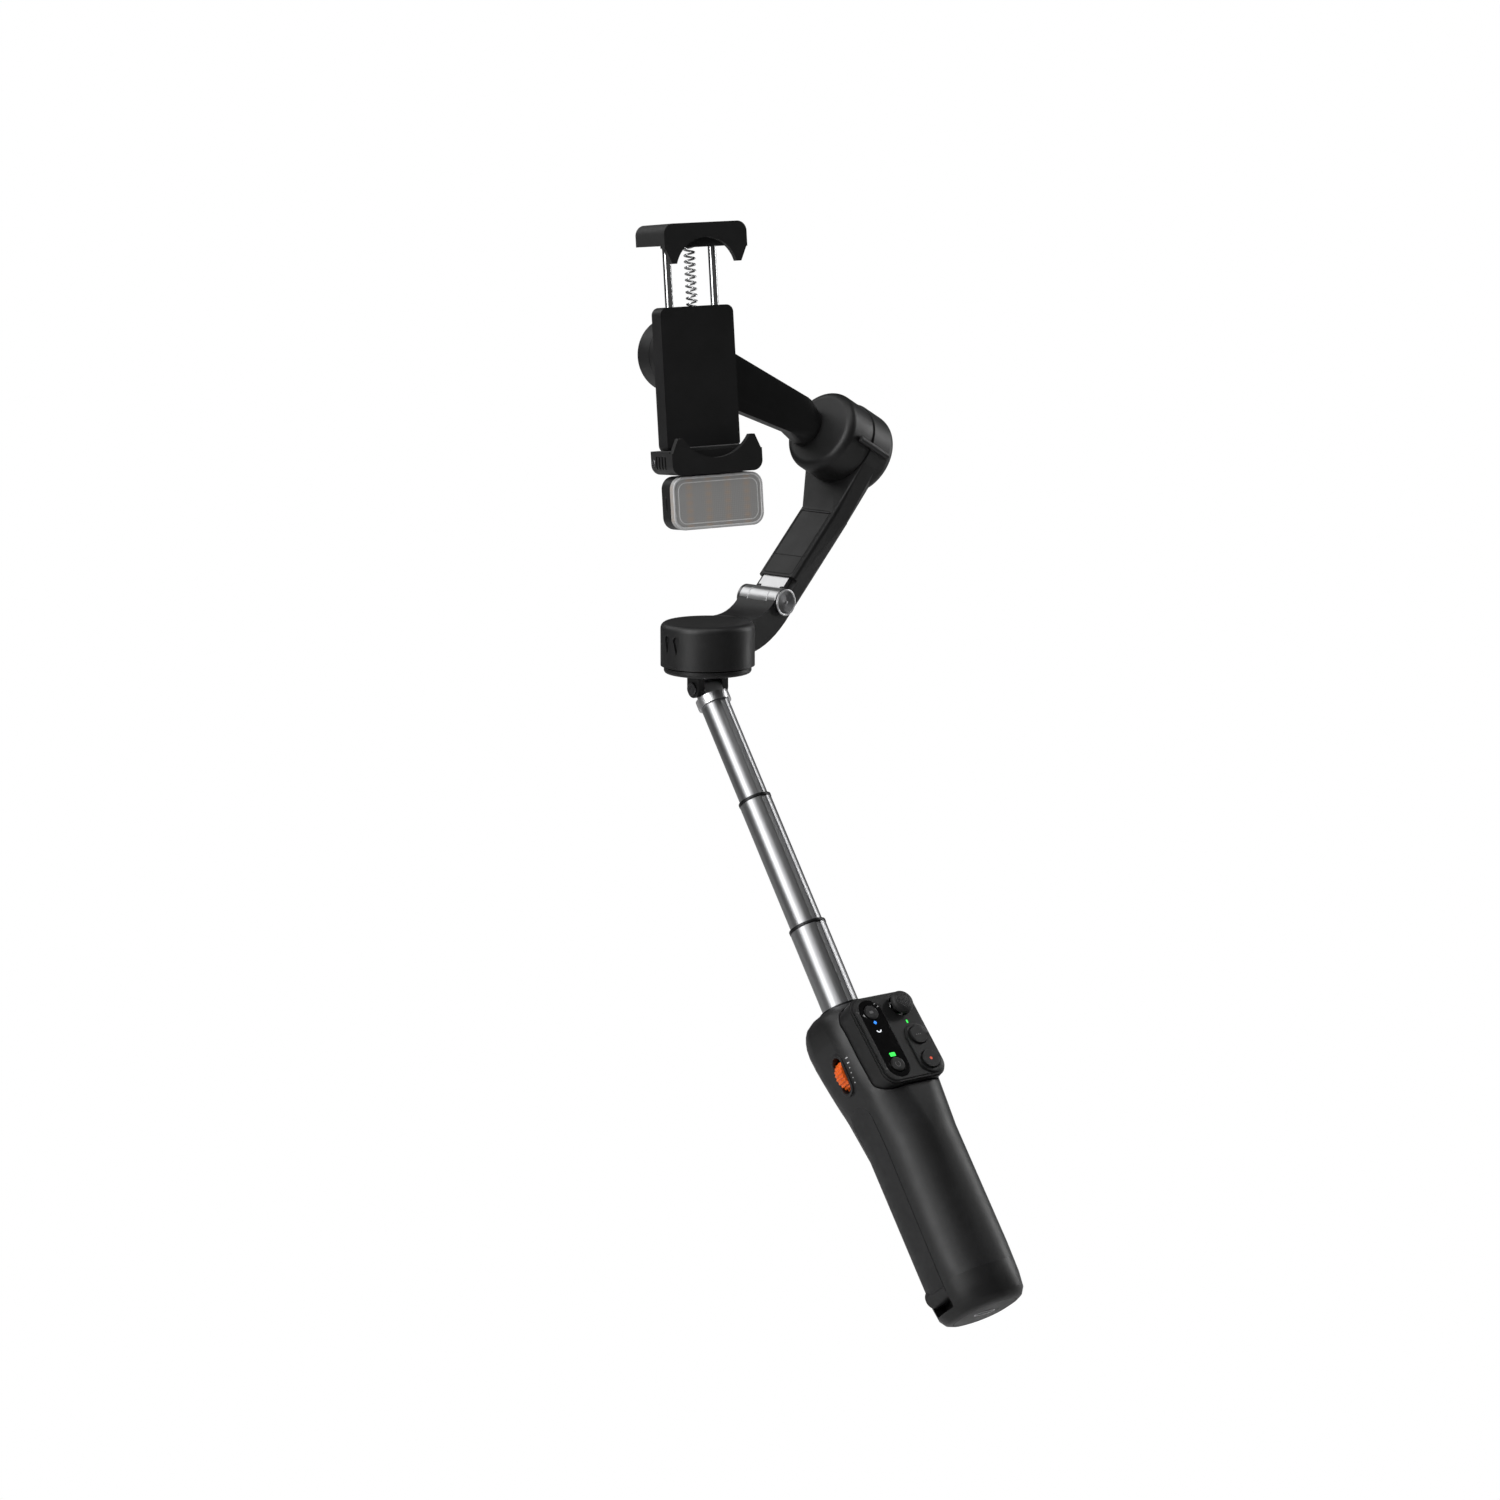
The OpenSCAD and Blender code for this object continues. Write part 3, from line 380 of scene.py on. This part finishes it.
# ---------------------------------------------------------------- CAD nodes: soft edges
SMOOTH_ANGLE = 32
WELD_GAP = 2e-6
FACE_WEIGHT = 60


def soften(obj, width, segments=2, angle=SMOOTH_ANGLE):
    """Rounds a piece's edges by a real radius and shades its faces smoothly."""
    for f in obj.data.polygons:
        f.use_smooth = True
    weld = obj.modifiers.new("join", "WELD")
    weld.merge_threshold = WELD_GAP
    if width:
        b = obj.modifiers.new("edges", "BEVEL")
        b.width = width
        b.segments = segments
        b.limit_method = "ANGLE"
        b.angle_limit = radians(angle)
        b.harden_normals = False
        b.use_clamp_overlap = True
    w = obj.modifiers.new("shade", "WEIGHTED_NORMAL")
    w.keep_sharp = False
    w.weight = FACE_WEIGHT
    return obj


EDGE = {
    "clamp_block": 0.8, "lower_jaw": 0.5, "upper_jaw": 0.7, "link_arm": 0.8, "arm_shell": 0.35,
    "arm_cover": 0.3, "pan_housing": 0.35, "clevis": 0.4, "neck_knuckle": 0.35, "base_cap": 0.35,
    "handle_front_shell": 0.3, "handle_rear_shell": 0.2, "light_case": 0.4, "light_diffuser": 0.5,
    "remote_case": 0.45, "roll_rotor": 0.5, "tilt_rotor": 0.2, "fold_knuckles": 0.15, "fold_pin": 0.3,
    "left_leg_grip": 0.25, "right_leg_grip": 0.25, "rear_leg_grip": 0.25, "screen_button": 0.3,
    "power_button": 0.3, "mode_button": 0.5, "record_button": 0.5, "rod_lower_ring": 0.2,
    "rod_middle_ring": 0.2, "usb_socket": 0.15, "fold_leaf": 0.15,
}
SMALL_EDGE = 0.1      # for nodes not in the list
for name, obj in nodes.items():
    soften(obj, EDGE.get(name, SMALL_EDGE) * MM)


# ---------------------------------------------------------------- mesh tools
def piece(name, bm, material, body, matrix=None, smooth=True):
    """Turns a mesh into a piece on a body; a piece with body None is left on no body."""
    me = bpy.data.meshes.new(name)
    bmesh.ops.recalc_face_normals(bm, faces=bm.faces)
    if matrix is not None:
        bm.transform(matrix)
    bm.to_mesh(me)
    bm.free()
    me.materials.append(material)
    for f in me.polygons:
        f.use_smooth = smooth
    o = bpy.data.objects.new(name, me)
    bpy.context.scene.collection.objects.link(o)
    if body:
        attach(o, body)
    return o


def lathe(profile, steps=64, closed=False):
    """Revolves (radius, height) points in mm about z."""
    bm = bmesh.new()
    rings = []
    for k in range(steps):
        a = 2 * pi * k / steps
        rings.append([bm.verts.new((r * cos(a) * MM, r * sin(a) * MM, z * MM)) for r, z in profile])
    n = len(profile)
    for k in range(steps):
        p, q = rings[k], rings[(k + 1) % steps]
        for i in range(n if closed else n - 1):
            j = (i + 1) % n
            bm.faces.new((p[i], q[i], q[j], p[j]))
    bmesh.ops.remove_doubles(bm, verts=bm.verts, dist=1e-7)
    return bm


def slot_points(r, y0, y1, steps=12):
    """Outline of a slot with round ends along y, in mm."""
    up = [(r * cos(pi * k / steps), y1 + r * sin(pi * k / steps)) for k in range(steps + 1)]
    down = [(r * cos(pi + pi * k / steps), y0 + r * sin(pi + pi * k / steps)) for k in range(steps + 1)]
    return up + down


def sweep_rim(outline, section):
    """Closed ring: a section (outward, height) carried round an outline."""
    bm = bmesh.new()
    n = len(outline)
    loops = []
    for i in range(n):
        a, b = Vector(outline[i - 1]), Vector(outline[(i + 1) % n])
        t = (b - a).normalized()
        out = Vector((t.y, -t.x))
        here = Vector(outline[i])
        loops.append([bm.verts.new(((here.x + out.x * u) * MM, (here.y + out.y * u) * MM, v * MM))
                      for u, v in section])
    m = len(section)
    for i in range(n):
        p, q = loops[i], loops[(i + 1) % n]
        for j in range(m):
            bm.faces.new((p[j], q[j], q[(j + 1) % m], p[(j + 1) % m]))
    return bm


def slab(outline, z0, z1, edge=0.1):
    """Flat plate on an outline in mm, with a small rounded upper edge."""
    bm = bmesh.new()
    centre = sum((Vector(p) for p in outline), Vector((0, 0))) / len(outline)
    levels = []
    for k in range(4):
        a = pi / 2 * k / 3
        levels.append((edge * (1 - cos(a)), z1 - edge + edge * sin(a)))
    levels = [(0, z0)] + levels
    rings = []
    for inset, z in levels:
        ring = []
        for x, y in outline:
            d = (Vector((x, y)) - centre)
            q = centre + d * max(0, 1 - inset / max(d.length, 1e-6))
            ring.append(bm.verts.new((q.x * MM, q.y * MM, z * MM)))
        rings.append(ring)
    for p, q in zip(rings, rings[1:]):
        for i in range(len(p)):
            j = (i + 1) % len(p)
            bm.faces.new((p[i], p[j], q[j], q[i]))
    bm.faces.new(rings[-1])
    bm.faces.new(list(reversed(rings[0])))
    return bm


def disc_points(r, x=0, y=0, steps=32):
    return [(x + r * cos(2 * pi * k / steps), y + r * sin(2 * pi * k / steps)) for k in range(steps)]


def arc_points(r_in, r_out, a0, a1, x=0, y=0, steps=14):
    """Outline of a curved band between two angles, in mm."""
    def along(r, first, last):
        for k in range(steps + 1):
            a = radians(first + (last - first) * k / steps)
            yield x + r * cos(a), y + r * sin(a)
    return list(along(r_out, a0, a1)) + list(along(r_in, a1, a0))


def rounded_points(w, h, r, x=0, y=0, steps=6):
    """Outline of a rounded rectangle about a point, in mm."""
    out = []
    for q, (sx, sy) in enumerate(((1, 1), (-1, 1), (-1, -1), (1, -1))):
        for k in range(steps + 1):
            a = pi / 2 * (q + k / steps)
            out.append((x + sx * (w / 2 - r) + r * cos(a), y + sy * (h / 2 - r) + r * sin(a)))
    return out


def band(outline, z0, z1):
    """Flat plate on an outline that need not be round, in mm."""
    bm = bmesh.new()
    low = [bm.verts.new((x * MM, y * MM, z0 * MM)) for x, y in outline]
    top = [bm.verts.new((x * MM, y * MM, z1 * MM)) for x, y in outline]
    bm.faces.new(top)
    bm.faces.new(list(reversed(low)))
    for i in range(len(low)):
        j = (i + 1) % len(low)
        bm.faces.new((low[i], low[j], top[j], top[i]))
    return bm


def coil(radius, wire, low, top, turns, around=18, sides=8):
    """Helical spring about z, with capped ends, in mm."""
    bm = bmesh.new()
    steps = turns * around
    loops = []
    for k in range(steps + 1):
        a = 2 * pi * k / around
        z = low + wire + (top - low - 2 * wire) * k / steps
        ring = []
        for i in range(sides):
            b = 2 * pi * i / sides
            r = radius + wire * cos(b)
            ring.append(bm.verts.new((r * cos(a) * MM, r * sin(a) * MM, (z + wire * sin(b)) * MM)))
        loops.append(ring)
    for p, q in zip(loops, loops[1:]):
        for i in range(sides):
            j = (i + 1) % sides
            bm.faces.new((p[i], q[i], q[j], p[j]))
    bm.faces.new(loops[-1])
    bm.faces.new(list(reversed(loops[0])))
    return bm


def ring_section(r0, r1, z0, z1):
    return [(r0, z0), (r1, z0), (r1, z1), (r0, z1)]


# ---------------------------------------------------------------- remote: signs and key marks
PRINT = 0.03          # how far printed and lit marks stand proud
KEY_TOP = 0.35
BIG_KEY_TOP = 1.2
WINDOW_X = -7
BIG_X = 8.6
SCREEN_KEY_Y, POWER_KEY_Y, MODE_Y, RECORD_Y = 10.2, -13, -3, -13.8


def mark(name, outline, z, material, body):
    return piece(name, band(outline, z - PRINT, z + PRINT), material, body, REMOTE, smooth=False)


mark("link_sign", disc_points(0.85, -7.4, 5.8, 4), 0, sign_blue, "remote")
mark("mode_sign", arc_points(0.75, 1.25, 190, 350, -7.5, 2.6), 0, sign_white, "remote")
mark("battery_sign", rounded_points(2.7, 1.7, 0.3, -7, -8.6), 0, sign_green, "remote")
mark("status_lamp", rounded_points(0.8, 1.5, 0.35, 7.4, 3.7), 0, sign_green, "remote")
mark("record_spot", disc_points(0.6, BIG_X, RECORD_Y, 20), BIG_KEY_TOP, spot_red, "record_key")
DOT_R, DOT_PITCH = 0.28, 0.95
for k in (-1, 0, 1):
    mark(f"mode_dot_{k + 2}", disc_points(DOT_R, BIG_X + DOT_PITCH * k, MODE_Y, 12), BIG_KEY_TOP,
         key_print, "mode_key")
piece("power_mark", band(arc_points(0.95, 1.2, -235, 55), -PRINT, PRINT), key_print, "power_key",
      REMOTE @ move(WINDOW_X, POWER_KEY_Y, KEY_TOP), smooth=False)
piece("screen_mark", band(rounded_points(1.8, 1.1, 0.3), -PRINT, PRINT), key_print, "screen_key",
      REMOTE @ move(WINDOW_X, SCREEN_KEY_Y, KEY_TOP), smooth=False)

STICK_TOP = 7.1
piece("stick_dome", lathe([(3.6, STICK_TOP - 0.3), (3.4, STICK_TOP + 0.02), (2.7, STICK_TOP + 0.14),
                           (1.8, STICK_TOP + 0.24), (0.9, STICK_TOP + 0.28), (0, STICK_TOP + 0.3)], 48),
      hatched_rubber(), "stick", STICK)

# ---------------------------------------------------------------- handle: marks and port
DIAL_Z = 45.5
TICKS = 6
TICK_STEP = 2
TICK_Y, TICK_DRIFT = -12.2, -0.15     # the row leans a little towards the dock
TICK_LENGTH, SHORT_TICK, LONG_TICK = 0.4, 0.45, 1.1
TICK_DEPTH = 0.25
OUTSIDE_X = -60       # well left of the handle


def left_face(y, z):
    """Frame on the handle's left face: z out of the surface, x along the handle."""
    start = HANDLE @ (Vector((OUTSIDE_X, y, z)) * MM)
    inward = HANDLE.to_3x3() @ Vector((1, 0, 0))
    _, at, normal, _ = nodes["handle_front_shell"].ray_cast(start, inward)
    up = HANDLE.to_3x3() @ Vector((0, 0, 1))
    along = (up - up.dot(normal) * normal).normalized()
    across = normal.cross(along)
    return Matrix((along, across, normal)).transposed().to_4x4(), at


for k in range(TICKS):
    turned, at = left_face(TICK_Y + TICK_DRIFT * k, DIAL_Z + TICK_STEP * (k - (TICKS - 1) / 2))
    wide = LONG_TICK if k >= TICKS - 2 else SHORT_TICK
    piece(f"dial_tick_{k + 1}", band(rounded_points(TICK_LENGTH, wide, 0.1), -TICK_DEPTH, PRINT), printed,
          "handle", Matrix.Translation(at) @ turned, smooth=False)

TONGUE_W, TONGUE_T = 6.2, 0.75
TONGUE_Z = (1.6, 5.8)
piece("port_tongue", slab(rounded_points(TONGUE_W, TONGUE_T, 0.3), *TONGUE_Z), mat["ring_black"], "handle",
      PORT)
PLATE_W, PLATE_D, PLATE_CORNER, PLATE_Y = 23.2, 25.4, 10.2, -0.3
piece("base_plate_line", sweep_rim(rounded_points(PLATE_W, PLATE_D, PLATE_CORNER, 0, PLATE_Y),
                                   ring_section(-0.2, 0.2, -PRINT, PRINT)),
      groove, "handle", PORT, smooth=False)
PINHOLE_R, PINHOLE_X = 0.45, 6.8
piece("base_pinhole", band(disc_points(PINHOLE_R, 0, 0, 16), -PRINT, PRINT), groove, "handle",
      PORT @ move(PINHOLE_X, 0, 0), smooth=False)

# ---------------------------------------------------------------- fold hinge: turned caps
CAP_R = 5.4
CAP_Y = 11.2
for side, sign in (("front", -1), ("back", 1)):
    CAP = PAN @ move(HINGE_AT[0], sign * CAP_Y, HINGE_AT[2]) @ turn("X", -90 * sign)
    piece(f"cap_rim_{side}", lathe([(CAP_R, -0.3), (CAP_R, 0.08), (CAP_R - 0.15, 0.2), (CAP_R - 0.5, 0.22),
                                    (CAP_R - 0.75, 0.1), (CAP_R - 0.8, -0.1)]),
          mat["silver"], "pan_head", CAP)
    piece(f"cap_face_{side}", lathe([(CAP_R - 0.75, 0.04), (1.4, 0.1), (1.1, 0.04), (0.9, 0.04),
                                     (0.6, 0.14), (0, 0.16)]),
          spun_face(f"spun_cap_{side}", CAP), "pan_head", CAP)

# ---------------------------------------------------------------- arm: line round its cover
PANEL_LENGTH, PANEL_MIDDLE = 33, 28.4
PANEL_WIDTH, PANEL_CORNER = 15.6, 1.6
ARM_FACE = 2.7
piece("arm_panel_line", sweep_rim(rounded_points(PANEL_LENGTH, PANEL_WIDTH, PANEL_CORNER, PANEL_MIDDLE),
                                  ring_section(-0.22, 0.22, -PRINT, PRINT)),
      groove, "arm", ARM @ move(0, 0, ARM_FACE), smooth=False)

# ---------------------------------------------------------------- motors: cap grooves
GROOVE_W = 0.4
for name, radius, body, end in (("roll_cap_groove", 12.0, "tilt_arm", ROLL_END),
                                ("tilt_cap_groove", 11.6, "arm", TILT_END)):
    piece(name, lathe(ring_section(radius, radius + GROOVE_W, -PRINT, PRINT), 72, True), groove, body,
          end, smooth=False)

# ---------------------------------------------------------------- clamp spring
SPRING_TURNS = 26
WIRE_R = 0.4
SPRING_PLAY = 0.02
spring_points = [JAWS.inverted() @ v.co / MM for v in nodes["clamp_spring"].data.vertices]
SPRING_LOW, SPRING_TOP = min(p.z for p in spring_points), max(p.z for p in spring_points)
SPRING_X, SPRING_Y = [(min(p[i] for p in spring_points) + max(p[i] for p in spring_points)) / 2
                      for i in (0, 1)]
SPRING_R = max(p.x for p in spring_points) - SPRING_X - WIRE_R - SPRING_PLAY
SPRING = JAWS @ move(SPRING_X, SPRING_Y, 0)
spring = piece("clamp_coil", coil(SPRING_R, WIRE_R, SPRING_LOW, SPRING_TOP, SPRING_TURNS), mat["steel"],
               None, SPRING)
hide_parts("clamp_spring")
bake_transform(spring)

# ---------------------------------------------------------------- jaws and light
FLANK = -19.75        # left side of the lower jaw and of the light
SCREW_Y, SCREW_Z = 10.4, -41.6
LIGHT_KEY_Y = 1.4
LIGHT_FACE_Y = -5.6
LIGHT_W, LIGHT_H, LIGHT_CORNER = 38.6, 20.1, 4.6
INNER_STEP, INNER_CORNER = 4.0, 3.2
piece("jaw_screw", lathe([(1.5, -0.2), (1.5, 0.1), (1.35, 0.22), (0.7, 0.22), (0.6, 0.02), (0, 0.02)], 32),
      mat["cap_metal"], "clamp", JAWS @ move(FLANK, SCREW_Y, SCREW_Z) @ turn("Y", -90))
piece("light_key", slab(slot_points(1.1, -1.8, 1.8), -0.2, 0.28, 0.12), mat["button_black"], "light",
      JAWS @ move(FLANK, LIGHT_KEY_Y, LIGHT_MIDDLE) @ turn("Y", -90) @ turn("Z", 90))
LIGHT_FRONT = JAWS @ move(0, LIGHT_FACE_Y, LIGHT_MIDDLE) @ turn("X", 90)
piece("light_rim", sweep_rim(rounded_points(LIGHT_W, LIGHT_H, LIGHT_CORNER),
                             [(0.38, -0.2), (0.38, 0.02), (0.1, 0.12), (-0.5, 0.12), (-0.75, -0.1)]),
      clear_rim, "light", LIGHT_FRONT)
inner = rounded_points(LIGHT_W - INNER_STEP, LIGHT_H - INNER_STEP, INNER_CORNER)
piece("light_inner_line", sweep_rim(inner, ring_section(-0.18, 0.18, -PRINT, PRINT)),
      clear_rim, "light", LIGHT_FRONT, smooth=False)

# ---------------------------------------------------------------- camera, light, floor
AIM = TOP.translation
CAMERA_DISTANCE = 1.6
CAMERA_AZIMUTH = -37.94
CAMERA_HEIGHT = 8.49
LOOK_AZIMUTH = -38.55
LOOK_HEIGHT = 10.32
LENS, SENSOR = 96.6, 36


def direction(azimuth, height):
    a, h = radians(azimuth), radians(height)
    return Vector((sin(a) * cos(h), -cos(a) * cos(h), sin(h)))


cam_data = bpy.data.cameras.new("camera")
cam_data.lens = LENS
cam_data.sensor_width = SENSOR
cam = bpy.data.objects.new("camera", cam_data)
bpy.context.scene.collection.objects.link(cam)
cam.location = AIM + CAMERA_DISTANCE * direction(CAMERA_AZIMUTH, CAMERA_HEIGHT)
cam.rotation_euler = (-direction(LOOK_AZIMUTH, LOOK_HEIGHT)).to_track_quat("-Z", "Y").to_euler()
bpy.context.scene.camera = cam

world = bpy.data.worlds.new("studio")
bpy.context.scene.world = world
world.use_nodes = True
wt = world.node_tree
back = wt.nodes["Background"]
back.inputs["Color"].default_value = (1, 1, 1, 1)
SEEN, LIT = 1.0, 0.09
path = wt.nodes.new("ShaderNodeLightPath")
level = wt.nodes.new("ShaderNodeMapRange")
level.inputs["To Min"].default_value = LIT
level.inputs["To Max"].default_value = SEEN
wt.links.new(path.outputs["Is Camera Ray"], level.inputs["Value"])
wt.links.new(level.outputs["Result"], back.inputs["Strength"])

scene = bpy.context.scene
scene.view_settings.view_transform = "Standard"


BOX_AIM = AIM - Vector((0, 0, 0.05))


def softbox(name, azimuth, height, distance, size, power):
    """Soft light at a direction and distance (m) from the head, with its size (m) and power (W)."""
    data = bpy.data.lights.new(name, "AREA")
    data.shape = "RECTANGLE"
    data.size, data.size_y = size
    data.energy = power
    o = bpy.data.objects.new(name, data)
    scene.collection.objects.link(o)
    o.location = AIM + distance * direction(azimuth, height)
    o.rotation_euler = (BOX_AIM - o.location).to_track_quat("-Z", "Y").to_euler()


softbox("key_left", -84, 20, 1.2, (0.5, 1.2), 12)
softbox("high_left", -100, 52, 1.2, (0.6, 0.6), 5)
softbox("back_left", -158, 38, 1.4, (1.0, 0.8), 3.6)
softbox("rim_right", 78, 14, 1.3, (0.22, 1.2), 7)
softbox("top", -30, 78, 1.2, (0.8, 0.8), 4)
softbox("front", -55, 34, 1.9, (0.6, 0.6), 2.5)

FLOOR_DROP = 0.12     # the object is held in the hand, above the floor
FLOOR_SIZE = 60
bm = bmesh.new()
bmesh.ops.create_grid(bm, x_segments=1, y_segments=1, size=FLOOR_SIZE)
me = bpy.data.meshes.new("floor")
bm.to_mesh(me)
bm.free()
floor = bpy.data.objects.new("floor", me)
floor.location.z = CAD_BOX[0][2] - FLOOR_DROP
scene.collection.objects.link(floor)
pale = Shader("pale_floor").set(Specular_IOR_Level=0.0, Roughness=0.9)
pale.tint(pale.noise(3, 2), (0.56, 0.56, 0.56), (0.60, 0.60, 0.60))
glow = pale.new("ShaderNodeEmission")
seen = pale.new("ShaderNodeLightPath")
choose = pale.new("ShaderNodeMixShader")
pale.link(seen.outputs["Is Camera Ray"], choose.inputs["Fac"])
pale.link(pale.p.outputs["BSDF"], choose.inputs[1])
pale.link(glow.outputs["Emission"], choose.inputs[2])
pale.link(choose.outputs["Shader"], pale.t.nodes["Material Output"].inputs["Surface"])
me.materials.append(pale.m)
